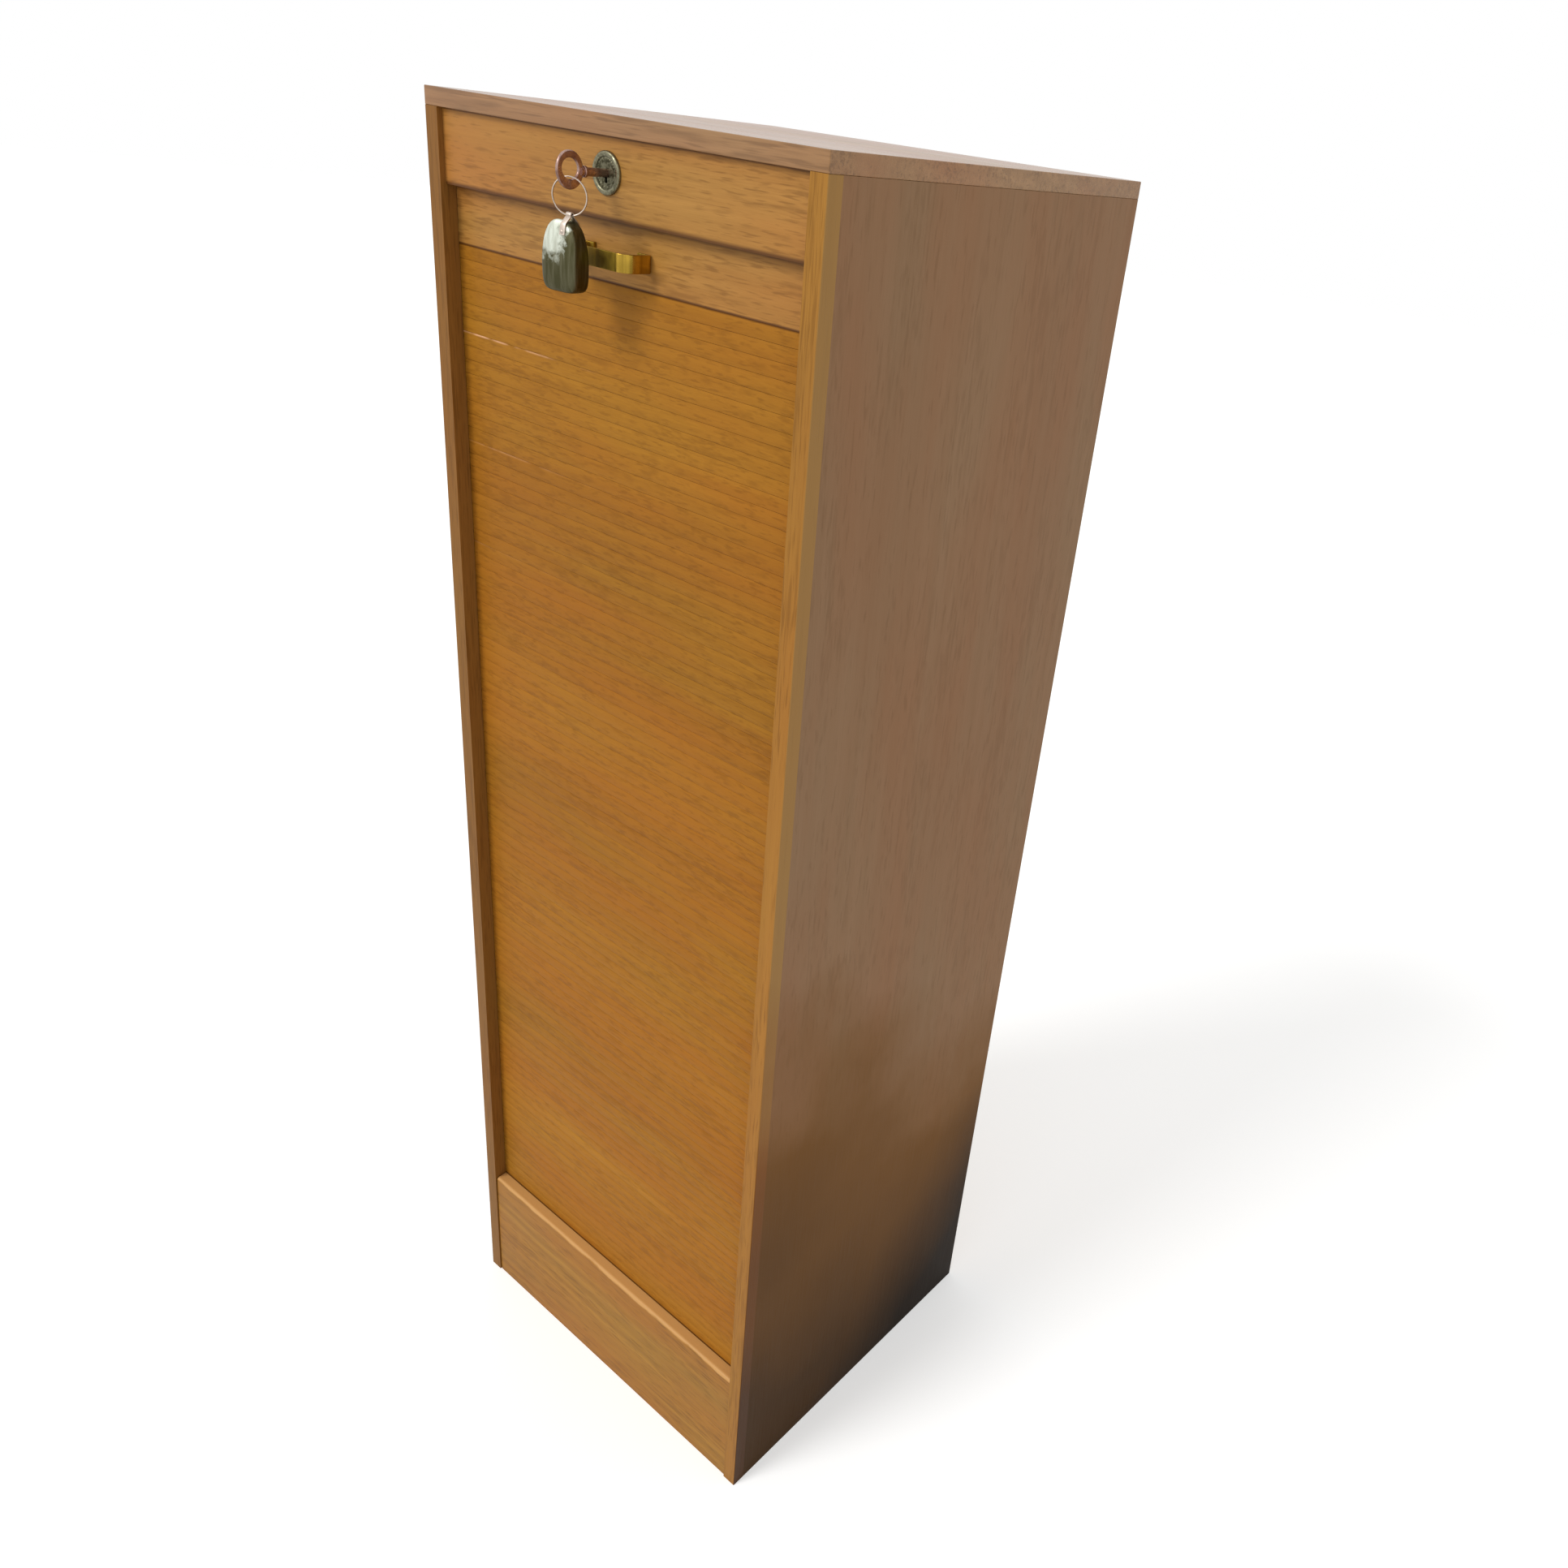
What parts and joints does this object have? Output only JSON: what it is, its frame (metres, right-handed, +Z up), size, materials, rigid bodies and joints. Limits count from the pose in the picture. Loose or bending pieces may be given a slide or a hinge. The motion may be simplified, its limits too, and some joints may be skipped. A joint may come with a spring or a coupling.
{
  "type": "tambour filing cabinet",
  "caption": "Tall narrow oak filing cabinet whose slatted roller front slides down past pull-out paper trays, with a brass strip pull and a cylinder lock over it.",
  "frame": {"origin": "centre of the base, on the floor it stands on", "axes": "+X to the right seen from the front, +Y from the front to the back, +Z up"},
  "size_m": [0.438, 0.4335, 1.33],
  "materials": {
    "oak_case": "oak veneer, satin lacquer, aged to a brown tone",
    "oak_solid": "solid oak, satin lacquer, honey brown",
    "oak_slat": "oak slats, satin lacquer, warm golden brown",
    "tray_wood": "beech, clear lacquer",
    "plywood": "thin plywood, sanded",
    "softwood": "planed softwood, bare",
    "canvas": "woven cotton canvas",
    "brass": "polished brass with light wear",
    "screw_steel": "zinc plated steel",
    "lock_steel": "bright steel",
    "lock_nickel": "nickel plate, dulled",
    "key_steel": "worn plated steel",
    "ring_steel": "bright steel wire",
    "fob_metal": "dulled pewter-grey metal"
  },
  "bodies": {
    "carcass": {"side_right": "oak_case", "side_left": "oak_case", "front_lipping_right": "oak_solid", "front_lipping_left": "oak_solid", "back_lipping_right": "oak_solid", "back_lipping_left": "oak_solid", "top_panel": "oak_case", "fascia": "oak_solid", "plinth": "oak_solid", "base_board": "plywood", "base_battens": "softwood", "carcass_floor": "plywood", "floor_bearers": "softwood", "inner_back": "plywood", "back_panel": "plywood", "back_panel_screws": "screw_steel", "carcass_dowels": "softwood", "tambour_slats": "oak_slat", "tambour_canvas": "canvas", "tail_slats": "oak_slat", "tail_canvas": "canvas", "lock_collar": "lock_nickel", "lock_plate": "lock_steel", "tray_cleats": "softwood", "carcass_screws": "screw_steel"},
    "shutter": {"lead_rail": "oak_solid", "pull_handle": "brass", "rail_screws": "screw_steel", "strike_plate": "brass"},
    "key_and_plug": {"key": "key_steel", "lock_plug": "lock_nickel", "lock_hook": "lock_steel", "hook_screw": "screw_steel"},
    "ring": {"split_ring": "ring_steel"},
    "fob": {"fob": "fob_metal", "fob_loop": "ring_steel"},
    "tray_1": {"tray_1_front": "tray_wood", "tray_1_walls": "tray_wood", "tray_1_bottom": "plywood"},
    "tray_2": {"tray_2_front": "tray_wood", "tray_2_walls": "tray_wood", "tray_2_bottom": "plywood"},
    "tray_3": {"tray_3_front": "tray_wood", "tray_3_walls": "tray_wood", "tray_3_bottom": "plywood"},
    "tray_4": {"tray_4_front": "tray_wood", "tray_4_walls": "tray_wood", "tray_4_bottom": "plywood"},
    "tray_5": {"tray_5_front": "tray_wood", "tray_5_walls": "tray_wood", "tray_5_bottom": "plywood"},
    "tray_6": {"tray_6_front": "tray_wood", "tray_6_walls": "tray_wood", "tray_6_bottom": "plywood"},
    "tray_7": {"tray_7_front": "tray_wood", "tray_7_walls": "tray_wood", "tray_7_bottom": "plywood"},
    "tray_8": {"tray_8_front": "tray_wood", "tray_8_walls": "tray_wood", "tray_8_bottom": "plywood"}
  },
  "joints": [
    {"name": "shutter_slide", "type": "slide", "parent": "carcass", "child": "shutter", "axis": [0, 0, -1], "range_m": [0, 1.055], "deforming": ["tambour_slats", "tambour_canvas"]},
    {"name": "key_turn", "type": "hinge", "parent": "carcass", "child": "key_and_plug", "pos_m": [0, -0.185, 1.2913], "axis": [0, 1, 0], "range_deg": [0, 90]},
    {"name": "ring_swing", "type": "hinge", "parent": "key_and_plug", "child": "ring", "pos_m": [0, -0.2249, 1.28245], "axis": [0, 1, 0], "range_deg": [-90, 0]},
    {"name": "fob_swing", "type": "hinge", "parent": "ring", "child": "fob", "pos_m": [0, -0.2249, 1.26235], "axis": [-0.9903, -0.1392, 0], "range_deg": [-3, 60]},
    {"name": "tray_1_slide", "type": "slide", "parent": "carcass", "child": "tray_1", "axis": [0, -1, 0], "range_m": [0, 0.25]},
    {"name": "tray_2_slide", "type": "slide", "parent": "carcass", "child": "tray_2", "axis": [0, -1, 0], "range_m": [0, 0.25]},
    {"name": "tray_3_slide", "type": "slide", "parent": "carcass", "child": "tray_3", "axis": [0, -1, 0], "range_m": [0, 0.25]},
    {"name": "tray_4_slide", "type": "slide", "parent": "carcass", "child": "tray_4", "axis": [0, -1, 0], "range_m": [0, 0.25]},
    {"name": "tray_5_slide", "type": "slide", "parent": "carcass", "child": "tray_5", "axis": [0, -1, 0], "range_m": [0, 0.25]},
    {"name": "tray_6_slide", "type": "slide", "parent": "carcass", "child": "tray_6", "axis": [0, -1, 0], "range_m": [0, 0.25]},
    {"name": "tray_7_slide", "type": "slide", "parent": "carcass", "child": "tray_7", "axis": [0, -1, 0], "range_m": [0, 0.25]},
    {"name": "tray_8_slide", "type": "slide", "parent": "carcass", "child": "tray_8", "axis": [0, -1, 0], "range_m": [0, 0.25]}
  ],
  "couplings": [
    {"joint": "ring_swing", "follows": "key_turn", "ratio": -1}
  ]
}
